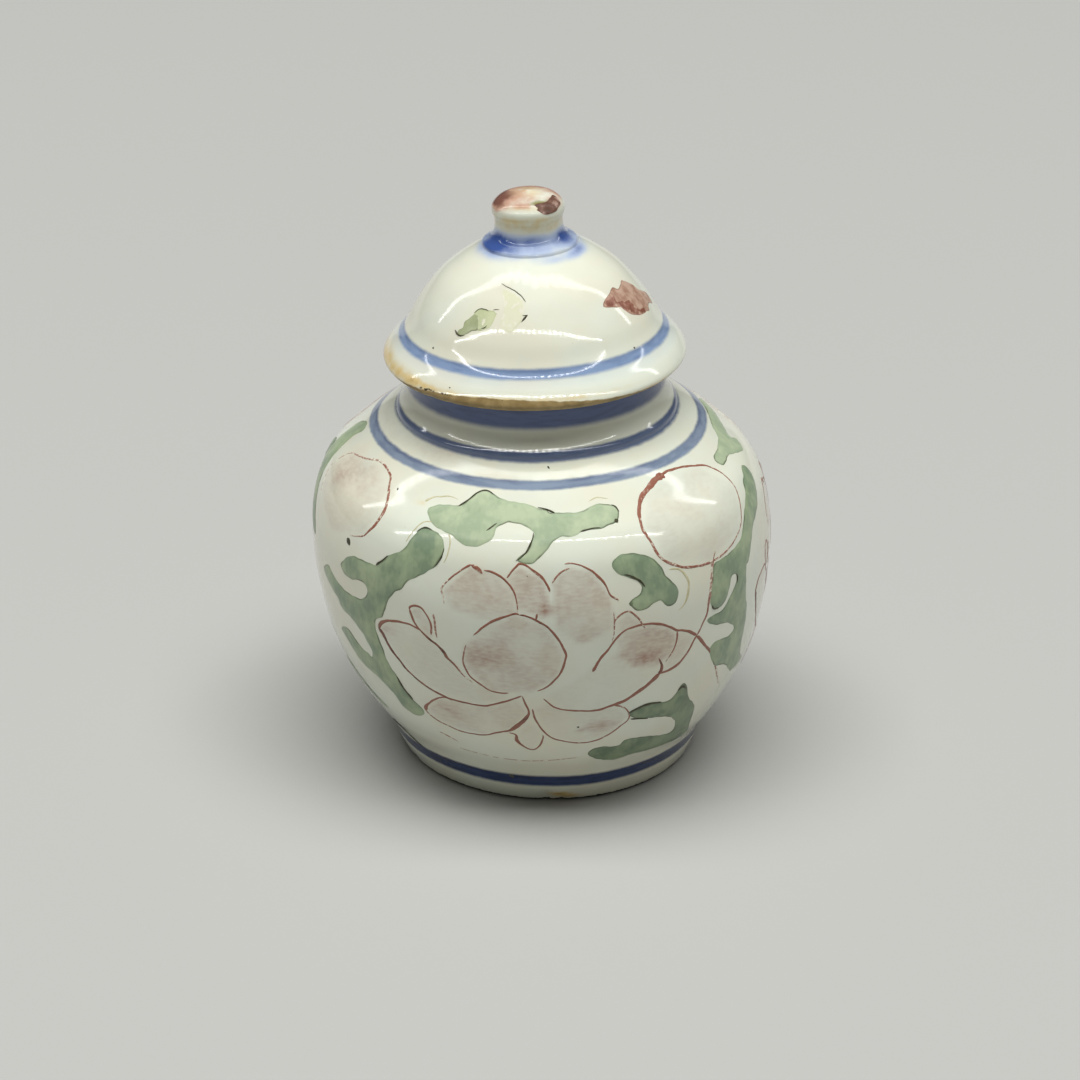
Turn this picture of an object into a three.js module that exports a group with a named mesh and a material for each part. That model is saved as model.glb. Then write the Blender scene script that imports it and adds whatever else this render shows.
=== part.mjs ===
// A small lidded porcelain jar, in millimetres, +Z up. The jar is a turned body with a neck collar and a foot
// ring luted to it, and the lid is a dome with a locating flange under it and a bud knob on top. Every piece is
// a closed turned ring or disc, and all of them follow the slight lean of the hand-made pot.
import * as THREE from "three";

// Heights of the joints between the pieces, and of the lid's seat.
const FOOT_TOP = 4.6;
const GIRTH_HEIGHT = 45;
const NECK_BASE = 71.9;
const NECK_TOP = 81.7;
const LID_CLEARANCE = 0.3;
const LID_SEAT = NECK_TOP + LID_CLEARANCE;
const FLANGE_DEPTH = 5.6;
const DOME_TOP = 104.9;
const KNOB_TOP = 115.2;

// Radii at the joints between the pieces.
const FOOT_OUTER = 31;
const FOOT_INNER = 25;
const GIRTH = 45;
const NECK_BASE_OUTER = 27.2;
const NECK_OUTER = 24.8;
const NECK_BORE = 22.2;
const FLANGE_OUTER = 21.3;
const FLANGE_BORE = 18.4;
const LID_RIM = 29;
const KNOB_BASE = 9.2;
const KNOB_RADIUS = 6.9;

// The lean: the middle of each ring drifts along X with its height, and the ring tips about Y.
const LEAN_SLOPE = 0.033;
const LEAN_CURVE = 0.000143;
const TILT_PER_MM = THREE.MathUtils.degToRad(0.0293);

const SEGMENTS = 60;

// Materials: the white glaze and the bare biscuit that the flange is left in.
const GLAZE = { color: 0xe4e8dc, roughness: 0.12, metalness: 0 };
const BISCUIT = { color: 0xd9c7a4, roughness: 0.8, metalness: 0 };

// A smooth outline through a few [radius, height] points, cut into equal steps.
function smooth(points, steps) {
  const curve = new THREE.SplineCurve(points.map(([radius, height]) => new THREE.Vector2(radius, height)));
  return curve.getPoints(steps).map((point) => [Math.max(point.x, 0), point.y]);
}

// The place of a point of the upright pot once the pot leans.
function lean(point) {
  const drift =
    LEAN_SLOPE * (GIRTH_HEIGHT - point.z) + LEAN_CURVE * (GIRTH_HEIGHT ** 2 - point.z ** 2);
  const tilt = TILT_PER_MM * point.z;
  const across = point.x;
  point.x = drift + across * Math.cos(tilt);
  point.z += across * Math.sin(tilt);
  return point;
}

// A named mesh turned from an outline that runs up its outside, then leaned with the pot.
function turned(name, outline, finish) {
  const profile = outline.map(([radius, height]) => new THREE.Vector2(radius, height));
  const geometry = new THREE.LatheGeometry(profile, SEGMENTS);
  geometry.rotateX(Math.PI / 2);
  const places = geometry.getAttribute("position");
  const point = new THREE.Vector3();
  for (let i = 0; i < places.count; i++) {
    lean(point.fromBufferAttribute(places, i));
    places.setXYZ(i, point.x, point.y, point.z);
  }
  geometry.computeVertexNormals();
  const mesh = new THREE.Mesh(geometry, new THREE.MeshStandardMaterial(finish));
  mesh.name = name;
  return mesh;
}

// The body: a flat base on the foot ring, a full shoulder, and an even wall with an open top.
function jarBody() {
  const outside = smooth(
    [
      [FOOT_OUTER, FOOT_TOP],
      [32.6, 8.2],
      [36, 13.2],
      [40.3, 21],
      [43.4, 31],
      [GIRTH, GIRTH_HEIGHT],
      [43.9, 55],
      [41.1, 61],
      [36.5, 65.3],
      [32, 68.9],
      [NECK_BASE_OUTER, NECK_BASE],
    ],
    20,
  );
  const inside = smooth(
    [
      [NECK_BORE, NECK_BASE],
      [26, 68.4],
      [31.5, 65],
      [37.2, 60],
      [40, 54],
      [41.2, GIRTH_HEIGHT],
      [39.9, 31],
      [36, 20.5],
      [28, 12],
      [17, 9.1],
      [0, 8.8],
    ],
    14,
  );
  return turned("jar_body", [[0, FOOT_TOP], ...outside, ...inside], GLAZE);
}

// The neck: a low ridge at its foot, a waist, and a rounded lip.
function neckCollar() {
  const outside = smooth(
    [
      [NECK_BASE_OUTER, NECK_BASE],
      [27, 72.8],
      [26, 74.2],
      [25.1, 76.2],
      [NECK_OUTER, 79],
      [NECK_OUTER, NECK_TOP - 0.8],
    ],
    8,
  );
  const lip = [
    [NECK_OUTER - 0.6, NECK_TOP],
    [NECK_BORE + 0.5, NECK_TOP],
    [NECK_BORE, NECK_TOP - 0.5],
  ];
  return turned("neck_collar", [...outside, ...lip, [NECK_BORE, NECK_BASE], outside[0]], GLAZE);
}

// The foot ring: a flat rim with its edges eased, under the edge of the body's base.
function footRing() {
  const rim = [
    [FOOT_INNER + 0.9, 0],
    [28.9, 0],
    [29.6, 0.7],
    [30.6, 3.2],
    [FOOT_OUTER, FOOT_TOP],
    [FOOT_INNER, FOOT_TOP],
    [FOOT_INNER + 0.3, 0.7],
  ];
  return turned("foot_ring", [...rim, rim[0]], GLAZE);
}

// The lid: a domed shell over a flat seat, with its rim turned out past the neck.
function lidDome() {
  const inside = smooth(
    [
      [0, 102.2],
      [4.6, 102],
      [9.5, 100.8],
      [14, 98],
      [17.6, 94.3],
      [19.8, 90],
      [20, 86.4],
      [FLANGE_BORE, LID_SEAT],
    ],
    10,
  );
  const outside = smooth(
    [
      [27.4, LID_SEAT],
      [28.6, 82.5],
      [LID_RIM, 83.5],
      [27.7, 85.5],
      [25.7, 87.5],
      [24, 90],
      [22.3, 93],
      [20, 96.2],
      [17, 99.5],
      [13.2, 102.4],
      [KNOB_BASE, DOME_TOP],
    ],
    20,
  );
  return turned("lid_dome", [...inside, ...outside, [0, DOME_TOP]], GLAZE);
}

// The ring under the lid that drops into the neck and keeps the lid in the middle.
function lidFlange() {
  const bottom = LID_SEAT - FLANGE_DEPTH;
  const ring = [
    [FLANGE_BORE + 0.4, bottom],
    [FLANGE_OUTER - 0.5, bottom],
    [FLANGE_OUTER, bottom + 0.8],
    [FLANGE_OUTER, LID_SEAT],
    [FLANGE_BORE, LID_SEAT],
    [FLANGE_BORE, bottom + 0.6],
  ];
  return turned("lid_flange", [...ring, ring[0]], BISCUIT);
}

// The knob: a spread foot on the dome, a short waist and a low domed head.
function lidKnob() {
  const outside = smooth(
    [
      [KNOB_BASE, DOME_TOP],
      [7.6, 106.1],
      [6.6, 107.8],
      [6.45, 109.9],
      [KNOB_RADIUS, 111.6],
      [6.5, 113],
      [4.5, 114.4],
      [0, KNOB_TOP],
    ],
    12,
  );
  return turned("lid_knob", [[0, DOME_TOP], ...outside], GLAZE);
}

const jar = new THREE.Group();
jar.add(footRing(), jarBody(), neckCollar());

const lid = new THREE.Group();
lid.add(lidFlange(), lidDome(), lidKnob());

const liddedJar = new THREE.Group();
liddedJar.add(jar, lid);

export default liddedJar;
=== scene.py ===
"""A small lidded porcelain ginger jar, turned, luted together, glazed and painted.

Each CAD piece is shown by a finer turned piece of the same outline, whose glaze holds the blue bands, the
washes and the stains. Brush lines and enamel lie on it as thin relief. Lengths are in millimetres and angles
in degrees, 0 at the front and positive to the right, on the upright pot; lean() then tips it.
"""

import math
import random

import bpy
import numpy as np
from mathutils import Matrix, Vector, geometry


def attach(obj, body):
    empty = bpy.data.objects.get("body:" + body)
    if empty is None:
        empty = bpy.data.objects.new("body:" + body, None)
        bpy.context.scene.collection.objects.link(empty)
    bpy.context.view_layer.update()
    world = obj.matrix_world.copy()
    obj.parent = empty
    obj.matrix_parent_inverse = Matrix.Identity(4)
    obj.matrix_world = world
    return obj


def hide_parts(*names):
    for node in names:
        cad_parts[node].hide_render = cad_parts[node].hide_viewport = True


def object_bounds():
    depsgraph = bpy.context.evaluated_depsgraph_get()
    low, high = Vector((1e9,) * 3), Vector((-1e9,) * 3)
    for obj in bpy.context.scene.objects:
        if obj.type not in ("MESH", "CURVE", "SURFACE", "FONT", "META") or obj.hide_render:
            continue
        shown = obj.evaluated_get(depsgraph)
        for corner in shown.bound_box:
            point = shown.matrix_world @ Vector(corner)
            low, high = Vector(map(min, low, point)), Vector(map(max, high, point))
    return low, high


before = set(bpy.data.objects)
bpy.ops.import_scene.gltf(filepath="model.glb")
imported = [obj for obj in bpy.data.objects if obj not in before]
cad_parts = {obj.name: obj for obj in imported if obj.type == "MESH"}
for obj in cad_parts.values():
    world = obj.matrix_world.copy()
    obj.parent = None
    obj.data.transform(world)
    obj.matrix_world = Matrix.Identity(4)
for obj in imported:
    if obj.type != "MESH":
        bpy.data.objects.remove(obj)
cad_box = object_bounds()

MM = 0.001

# ---------------------------------------------------------------- the pot's dimensions
FOOT_TOP = 4.6
GIRTH_HEIGHT = 45
NECK_BASE = 71.9
NECK_TOP = 81.7
LID_SEAT = 82.0
FLANGE_DEPTH = 5.6
DOME_TOP = 104.9
KNOB_TOP = 115.2
FOOT_OUTER = 31
FOOT_INNER = 25
GIRTH = 45
NECK_BASE_OUTER = 27.2
NECK_OUTER = 24.8
NECK_BORE = 22.2
FLANGE_OUTER = 21.3
FLANGE_BORE = 18.4
LID_RIM = 29
KNOB_BASE = 9.2
KNOB_RADIUS = 6.9

# The lean: each ring's middle drifts along X with its height, and the ring tips about Y.
LEAN_SLOPE = 0.033
LEAN_CURVE = 0.000143
TILT_PER_MM = math.radians(0.0293)

# How far the hand-turned wall stands off a true circle: an oval, lobes, throwing marks and ripples, all of
# which fade out towards the axis inside EVEN_RADIUS.
OVAL = 0.1
LOBES = 0.06
THROWING_MARKS = 0.035
RIPPLES = 0.02
EVEN_RADIUS = 20

# The front's painting is on the back too, BACK_TURN round. Its lotus, with the first SIDE_WASHES washes, is
# also on the right, SIDE_TURN round and narrowed by SIDE_SCALE.
BACK_TURN = 186
SIDE_TURN = 94
SIDE_SCALE = 0.62
SIDE_WASHES = 10

# How many facets each turned piece has round it.
BODY_FACETS = 420
NECK_FACETS = 360
DOME_FACETS = 400
SMALL_FACETS = 240

# A brush line: the step along it, how much it trembles, its width as a share of the width given, and its
# section as places across its width and heights over the glaze.
CURVE_STEPS = 12
LINE_STEP = 0.3
TREMBLE = 0.03
LINE_WIDTH = 0.95
LINE_SECTION = ((-0.5, -0.06), (-0.34, 0.025), (0, 0.04), (0.34, 0.025), (0.5, -0.06), (0, -0.1))

# A patch of enamel: the spacing of the points inside it, their distance from the border, the width of its
# rounded border, and how deep its underside is sunk in the glaze.
FILL_ACROSS = 0.8
FILL_UP = 0.7
FILL_MARGIN = 0.35
PATCH_BORDER = 0.6
PATCH_SUNK = 0.08

# A wash of thin red: the width of its blurred border, its share on the border itself, and how far from its
# middle it is looked for.
WASH_SOFT = 0.9
WASH_START = 0.3
WASH_REACH = 60

# ---------------------------------------------------------------- colours
CREAM = "#e7ecdb"
CREAM_WARM = "#e7e5d0"
CREAM_COOL = "#dde4d6"
BLUSH = "#ad8b78"
NAVY = "#1b2a54"
NAVY_PALE = "#2c406c"
NECK_BLUE = "#3f568a"
NECK_BLUE_DARK = "#2b4073"
COBALT = "#3f5a9c"
COBALT_DARK = "#3a4f7c"
SLATE = "#798ba5"
SLATE_DARK = "#506388"
SKY_BLUE = "#7f99c1"
LID_BLUE = "#5f7aa6"
ICE_BLUE = "#b4c3dc"
OCHRE = "#e2cb92"
OCHRE_DARK = "#b08d4c"
OLIVE = "#8d8a5a"
# Dark brown-black for dirt, pinholes and the ink's darker tone, and for painted shade along the foot's
# bottom edge.
GRIME_AND_SHADE = "#37321f"
CLAY = "#cdb78f"
CLAY_PALE = "#dccdae"
CLAY_DARK = "#8d6f45"
LIP_CLAY = "#a28c5f"
LIP_CLAY_DARK = "#8a7549"
IRON = "#95604c"
IRON_DARK = "#633a2b"
IRON_PALE = "#c4a898"
IRON_WORN = "#c9a28c"
IRON_DEEP = "#7a5144"
KNOB_BROWN = "#64473a"
KNOB_BROWN_PALE = "#7c5d4f"
LEAF = "#bbc8a6"
LEAF_DEEP = "#a2b494"
LEAF_SHADE = "#a7b792"
LEAF_SHADE_DEEP = "#82967a"
# The green enamel darkened as painted shade, for the leaf low on the belly, in two tones.
LEAF_IN_SHADE = "#8a9b79"
LEAF_IN_SHADE_DEEP = "#667a60"
LEAF_EDGE = "#4d5a3c"
INK = "#4b4a33"
OLIVE_PALE = "#ced3a9"
OLIVE_SOFT = "#bcc499"
OLIVE_RIM = "#a8ad84"
OLIVE_GREEN = "#b6bd95"
OLIVE_GREEN_DEEP = "#9ba47b"
OLIVE_GREEN_RIM = "#6e7450"
STRAW = "#e2e2c6"
STRAW_DEEP = "#dbdcbb"
STRAW_RIM = "#d2d2b0"
RED_WORN = "#c8a993"
RED_WORN_DEEP = "#a9836e"
RED_FULL = "#9a6a58"
RED_FULL_DEEP = "#80503f"
RED_FULL_RIM = "#b48d78"
HALO = "#d8d3b2"
HALO_DARK = "#c3bd92"
FLOOR_GREY = "#b5b5b1"


def rgb(code):
    """A colour written as #rrggbb, as the linear RGBA that a shader takes."""
    channels = [int(code[i : i + 2], 16) / 255 for i in (1, 3, 5)]
    return tuple(c / 12.92 if c <= 0.04045 else ((c + 0.055) / 1.055) ** 2.4 for c in channels) + (1.0,)


# ---------------------------------------------------------------- outlines and the pot's surface
def smooth(points, steps):
    """A smooth curve through the points, cut into equal steps, the same curve that the CAD part uses."""
    points = np.array(points, float)
    last = len(points) - 1
    marks = np.linspace(0, last, steps + 1)
    i = np.minimum(marks.astype(int), last - 1)
    t = (marks - i)[:, None]
    before, start = points[np.maximum(i - 1, 0)], points[i]
    end, after = points[i + 1], points[np.minimum(i + 2, last)]
    leave, arrive = (end - before) / 2, (after - start) / 2
    return (
        (2 * start - 2 * end + leave + arrive) * t**3
        + (3 * end - 3 * start - 2 * leave - arrive) * t**2
        + leave * t
        + start
    )


def cut(points, step):
    """A path of straight runs with a point at least every step, that keeps its corners."""
    points = np.array(points, float)
    rows = [points[:1]]
    for start, end in zip(points, points[1:]):
        count = max(int(np.ceil(np.linalg.norm(end - start) / step)), 1)
        shares = np.arange(1, count + 1)[:, None] / count
        rows.append(start + (end - start) * shares)
    return np.concatenate(rows)


def even(path, step):
    """The path again, with its points an equal step apart."""
    along = np.r_[0, np.cumsum(np.linalg.norm(np.diff(path, axis=0), axis=1))]
    marks = np.linspace(0, along[-1], max(int(along[-1] / step), 3) + 1)
    return np.column_stack([np.interp(marks, along, path[:, k]) for k in range(path.shape[1])])


def unevenness(angle, height):
    """How far the wall stands off a true circle, at an angle in radians."""
    oval = OVAL * np.cos(2 * (angle - 0.9)) + LOBES * np.cos(3 * angle + 1.1 + height * 0.02)
    marks = THROWING_MARKS * np.sin(height * 0.55 + 1.5 * np.sin(angle))
    return oval + marks + RIPPLES * np.sin(5 * angle + height * 0.21)


def lean(points):
    """The upright pot's points, once the pot leans."""
    across, deep, high = points.T
    drift = LEAN_SLOPE * (GIRTH_HEIGHT - high) + LEAN_CURVE * (GIRTH_HEIGHT**2 - high**2)
    tilt = TILT_PER_MM * high
    return np.column_stack([drift + across * np.cos(tilt), deep, high + across * np.sin(tilt)])


class Skin:
    """The outside of a turned piece, laid flat for painting: across in mm of arc, and up along the wall."""

    def __init__(self, outline):
        self.radius, self.height = outline.T
        self.along = np.r_[0, np.cumsum(np.hypot(np.diff(self.radius), np.diff(self.height)))]
        self.rise = np.gradient(self.height, self.along)
        self.spread = np.gradient(self.radius, self.along)
        self.flat_radius = self.radius.mean()

    def flat(self, marks):
        """The flat places of (angle, height) marks."""
        marks = np.array(marks, float)
        return np.column_stack(
            [
                np.radians(marks[:, 0]) * self.flat_radius,
                np.interp(marks[:, 1], self.height, self.along),
            ]
        )

    def upright(self, flat, lift):
        """Points on the upright pot, lifted off its surface."""
        angle = flat[:, 0] / self.flat_radius
        radius = np.interp(flat[:, 1], self.along, self.radius)
        height = np.interp(flat[:, 1], self.along, self.height)
        radius = radius + unevenness(angle, height) + lift * np.interp(flat[:, 1], self.along, self.rise)
        height = height - lift * np.interp(flat[:, 1], self.along, self.spread)
        return np.column_stack([radius * np.sin(angle), -radius * np.cos(angle), height])


BODY_OUTSIDE = smooth(
    [(FOOT_OUTER, FOOT_TOP), (32.6, 8.2), (36, 13.2), (40.3, 21), (43.4, 31), (GIRTH, GIRTH_HEIGHT),
     (43.9, 55), (41.1, 61), (36.5, 65.3), (32, 68.9), (NECK_BASE_OUTER, NECK_BASE)],
    130,
)
BODY_INSIDE = smooth(
    [(NECK_BORE, NECK_BASE), (26, 68.4), (31.5, 65), (37.2, 60), (40, 54), (41.2, GIRTH_HEIGHT), (39.9, 31),
     (36, 20.5), (28, 12), (17, 9.1), (0, 8.8)],
    50,
)
NECK_OUTSIDE = smooth(
    [(NECK_BASE_OUTER, NECK_BASE), (27, 72.8), (26, 74.2), (25.1, 76.2), (NECK_OUTER, 79),
     (NECK_OUTER, NECK_TOP - 0.8)],
    34,
)
DOME_INSIDE = smooth(
    [(0, 102.2), (4.6, 102), (9.5, 100.8), (14, 98), (17.6, 94.3), (19.8, 90), (20, 86.4),
     (FLANGE_BORE, LID_SEAT)],
    40,
)
DOME_OUTSIDE = smooth(
    [(27.4, LID_SEAT), (28.6, 82.5), (LID_RIM, 83.5), (27.7, 85.5), (25.7, 87.5), (24, 90), (22.3, 93),
     (20, 96.2), (17, 99.5), (13.2, 102.4), (KNOB_BASE, DOME_TOP)],
    110,
)
KNOB_OUTSIDE = smooth(
    [(KNOB_BASE, DOME_TOP), (8.9, 105.5), (8.1, 106), (7.2, 106.6), (6.6, 107.8), (6.45, 109.9),
     (KNOB_RADIUS, 111.6), (6.5, 113), (4.5, 114.4), (0, KNOB_TOP)],
    108,
)
body_skin = Skin(BODY_OUTSIDE)
dome_skin = Skin(DOME_OUTSIDE)
knob_skin = Skin(KNOB_OUTSIDE)


# ---------------------------------------------------------------- meshes
def make_mesh(name, upright, faces, values):
    """A mesh of the leaned points, that keeps each point's upright place and its painted values."""
    mesh = bpy.data.meshes.new(name)
    mesh.from_pydata((lean(upright) * MM).tolist(), [], faces)
    place = mesh.attributes.new("place", "FLOAT_VECTOR", "POINT")
    place.data.foreach_set("vector", upright.astype(np.float32).ravel())
    for key, amounts in values.items():
        layer = mesh.attributes.new(key, "FLOAT", "POINT")
        layer.data.foreach_set("value", np.asarray(amounts, np.float32))
    mesh.validate()
    mesh.shade_smooth()
    return mesh


def show(name, mesh, material, body):
    """The mesh as a piece that rides on a CAD body."""
    piece = bpy.data.objects.new(name, mesh)
    bpy.context.scene.collection.objects.link(piece)
    mesh.materials.append(material)
    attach(piece, body)
    return piece


def ring_rows(outline, turns, dents):
    """A turned outline's upright points: a ring for each of its points, or one point on the axis."""
    angles = np.arange(turns) * 2 * math.pi / turns
    points, rows = [], []
    start = 0
    for radius, height in outline:
        if radius < 1e-6:
            points.append([[0, 0, height]])
            rows.append([start])
            start += 1
            continue
        reach = radius + unevenness(angles, height) * min(radius / EVEN_RADIUS, 1)
        for angle, level, size, depth in dents:
            off = np.angle(np.exp(1j * (angles - math.radians(angle)))) * radius
            reach = reach - depth * np.exp(-((off / size) ** 2) - ((height - level) / size) ** 2)
        points.append(
            np.column_stack([reach * np.sin(angles), -reach * np.cos(angles), np.full(turns, height)])
        )
        rows.append(range(start, start + turns))
        start += turns
    return np.concatenate(points), rows


def ring_faces(rows, turns, closed):
    """Faces between the rings, fans where a ring is one point, and none between two points on the axis."""
    faces = []
    pairs = list(zip(rows, rows[1:]))
    if closed:
        pairs.append((rows[-1], rows[0]))
    for low, high in pairs:
        for i in range(turns):
            j = (i + 1) % turns
            if len(low) == 1 and len(high) == 1:
                break
            if len(low) == 1:
                faces.append((low[0], high[j], high[i]))
            elif len(high) == 1:
                faces.append((low[i], low[j], high[0]))
            else:
                faces.append((low[i], low[j], high[j], high[i]))
    return faces


STAIN_KEYS = ("blush", "blue", "red", "olive", "ochre", "grime_and_shade", "bare")


def stain_values(upright, stains, washes):
    """How strong each stain is at each point: soft spots, and washes inside borders on the body."""
    angle = np.degrees(np.arctan2(upright[:, 0], -upright[:, 1]))
    height = upright[:, 2]
    values = {key: np.zeros(len(upright)) for key in STAIN_KEYS}
    for key, at, level, wide, tall, strength in stains:
        off = (angle - at + 180) % 360 - 180
        values[key] += strength * np.exp(-((off / wide) ** 2) - ((height - level) / tall) ** 2)
    radius = np.hypot(upright[:, 0], upright[:, 1])
    outside = radius > np.interp(height, BODY_OUTSIDE[:, 1], BODY_OUTSIDE[:, 0]) - 1
    flat = np.column_stack([np.radians(angle) * GIRTH, height])
    for marks, strength in washes:
        border = np.array(marks, float) * (math.radians(GIRTH), 1)
        for turn in (-360, 0, 360):
            border_here = border + (math.radians(turn) * GIRTH, 0)
            near = outside & (np.abs(flat[:, 0] - border_here[:, 0].mean()) < WASH_REACH)
            depth = depth_inside(flat[near], border_here)
            values["blush"][near] += strength * np.clip(depth / WASH_SOFT + WASH_START, 0, 1)
    return values


def turned(node, outline, turns, material, body, stains=(), dents=(), washes=(), crease=42):
    """A closed turned piece that stands for a CAD node, with its stains as values on its points."""
    outline = np.asarray(outline, float)
    closed = bool(np.allclose(outline[0], outline[-1]))
    if closed:
        outline = outline[:-1]
    upright, rows = ring_rows(outline, turns, dents)
    values = stain_values(upright, stains, washes)
    mesh = make_mesh(node + "_fine", upright, ring_faces(rows, turns, closed), values)
    mesh.set_sharp_from_angle(angle=math.radians(crease))
    piece = show(node + "_fine", mesh, material, body)
    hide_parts(node)
    return piece


def depth_inside(points, border):
    """How far each flat point is inside a closed border, negative outside."""
    starts, ends = border, np.roll(border, -1, axis=0)
    nearest = np.full(len(points), 1e9)
    inside = np.zeros(len(points), bool)
    for start, end in zip(starts, ends):
        run = end - start
        share = np.clip(((points - start) @ run) / max(run @ run, 1e-12), 0, 1)
        nearest = np.minimum(nearest, np.linalg.norm(points - start - share[:, None] * run, axis=1))
        crosses = (start[1] > points[:, 1]) != (end[1] > points[:, 1])
        reach = start[0] + (points[:, 1] - start[1]) * run[0] / (run[1] if run[1] else 1e-12)
        inside ^= crosses & (points[:, 0] < reach)
    return np.where(inside, nearest, -nearest)


class Relief:
    """Thin closed shapes painted on a skin, gathered into one mesh."""

    def __init__(self, skin, seed):
        self.skin = skin
        self.luck = random.Random(seed)
        self.points, self.faces, self.load, self.count = [], [], [], 0

    def add(self, points, faces, load):
        self.points.append(points)
        self.faces += [tuple(i + self.count for i in face) for face in faces]
        self.load.append(np.broadcast_to(load, len(points)))
        self.count += len(points)

    def line(self, marks, widths, loads=(0.7,), lift=0.0, tremble=TREMBLE):
        """A brush line, whose width and load of colour run along it between the values given."""
        path = even(smooth(self.skin.flat(marks), CURVE_STEPS * len(marks)), LINE_STEP)
        share = np.linspace(0, 1, len(path))
        phase = [self.luck.uniform(0, 2 * math.pi) for _ in range(4)]
        run = share * len(path) * LINE_STEP
        shake = np.sin(run * 1.1 + phase[0]) + 0.6 * np.sin(run * 2.9 + phase[1])
        path[:, 1] += shake * tremble
        path[:, 0] += np.sin(run * 1.7 + phase[2]) * tremble
        centre = self.skin.upright(path, 0)
        normal = self.skin.upright(path, 1) - centre
        normal /= np.linalg.norm(normal, axis=1)[:, None]
        side = np.cross(np.gradient(centre, axis=0), normal)
        side /= np.linalg.norm(side, axis=1)[:, None]
        width = np.interp(share, np.linspace(0, 1, len(widths)), widths)
        swell = 1 + 0.1 * np.sin(run * 1.6 + phase[3]) + 0.05 * np.sin(run * 4.1)
        width = LINE_WIDTH * width * swell
        width = width * np.clip(np.minimum(share, 1 - share) * len(path) * 0.5 + 0.25, 0, 1)
        load = np.interp(share, np.linspace(0, 1, len(loads)), loads)
        rings = [
            centre + side * (off * width)[:, None] + normal * (lift + rise) for off, rise in LINE_SECTION
        ]
        size = len(LINE_SECTION)
        points = np.stack(rings, axis=1).reshape(-1, 3)
        faces = [tuple(reversed(range(size))), tuple(len(points) - size + k for k in range(size))]
        for i in range(len(path) - 1):
            for k in range(size):
                a, b = i * size + k, i * size + (k + 1) % size
                faces.append((a, b, b + size, a + size))
        self.add(points, faces, np.repeat(load, size))

    def patch(self, marks, thick=0.12, step=0.45, ragged=0.05):
        """A raised patch of enamel with a smooth border: its load is the distance from the border."""
        loop = self.skin.flat(list(marks) + [marks[0]])
        wrapped = np.concatenate([loop[-3:-1], loop, loop[1:3]])
        curve = smooth(wrapped, CURVE_STEPS * (len(wrapped) - 1))[2 * CURVE_STEPS : -2 * CURVE_STEPS]
        border = even(curve, step)[:-1]
        run = np.arange(len(border)) * step
        phase = self.luck.uniform(0, 6)
        border[:, 0] += ragged * np.sin(run * 2.1 + phase)
        border[:, 1] += ragged * np.sin(run * 2.9 + phase * 2)
        low, high = border.min(0), border.max(0)
        fill = [
            (x + (row % 2) * FILL_ACROSS / 2 + self.luck.uniform(-0.1, 0.1), y)
            for row, y in enumerate(np.arange(low[1], high[1], FILL_UP))
            for x in np.arange(low[0], high[0], FILL_ACROSS)
        ]
        fill = np.array(fill)
        fill = fill[depth_inside(fill, border) > FILL_MARGIN]
        flat = [Vector(p) for p in np.concatenate([border, fill]).tolist()]
        loop_indices = list(range(len(border)))
        made = geometry.delaunay_2d_cdt(flat, [], [loop_indices], 1, 1e-6)
        spots = np.array([tuple(v) for v in made[0]])
        depth = np.maximum(depth_inside(spots, border), 0)
        rise = thick * np.sqrt(np.clip(depth / PATCH_BORDER, 0.02, 1))
        top = self.skin.upright(spots, rise)
        bottom = self.skin.upright(spots, np.full(len(spots), -PATCH_SUNK))
        count = len(spots)
        tops = [tuple(f) for f in made[2]]
        directed = {(f[k], f[(k + 1) % 3]) for f in tops for k in range(3)}
        rim = [(a, b) for a, b in directed if (b, a) not in directed]
        faces = tops + [tuple(i + count for i in reversed(f)) for f in tops]
        faces += [(b, a, a + count, b + count) for a, b in rim]
        self.add(np.concatenate([top, bottom]), faces, np.concatenate([depth, np.zeros(count)]))

    def speck(self, at, height, size, radius, slope):
        """A short thick dash on a wall of the given radius."""
        across = math.degrees(size / radius) * 0.35
        rise = size * slope
        self.line([(at - across, height + rise), (at + across, height - rise)], (size, size))

    def finish(self, name, material, body):
        points = np.concatenate(self.points)
        mesh = make_mesh(name, points, self.faces, {"load": np.concatenate(self.load)})
        mesh.set_sharp_from_angle(angle=math.radians(60))
        return show(name, mesh, material, body)


# ---------------------------------------------------------------- materials
GLAZE_ROUGH = 0.1
GLAZE_COAT = 0.3
GLAZE_COAT_ROUGH = 0.04
CLAY_ROUGH = 0.75
BISCUIT_ROUGH = 0.85
BRUSHED_ROUGH = 0.35
ENAMEL_ROUGH = 0.28
WORN_RED_ROUGH = 0.3
INK_ROUGH = 0.4
HALO_ROUGH = 0.15
FLOOR_ROUGH = 0.9
WORN_START = 0.62

# Stains in the order they lie over each other: the value's name, its thin colour and its thick colour.
STAIN_COLOURS = [("red", IRON_WORN, IRON_DEEP), ("olive", OLIVE, OLIVE), ("ochre", OCHRE, OCHRE_DARK)]


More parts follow.
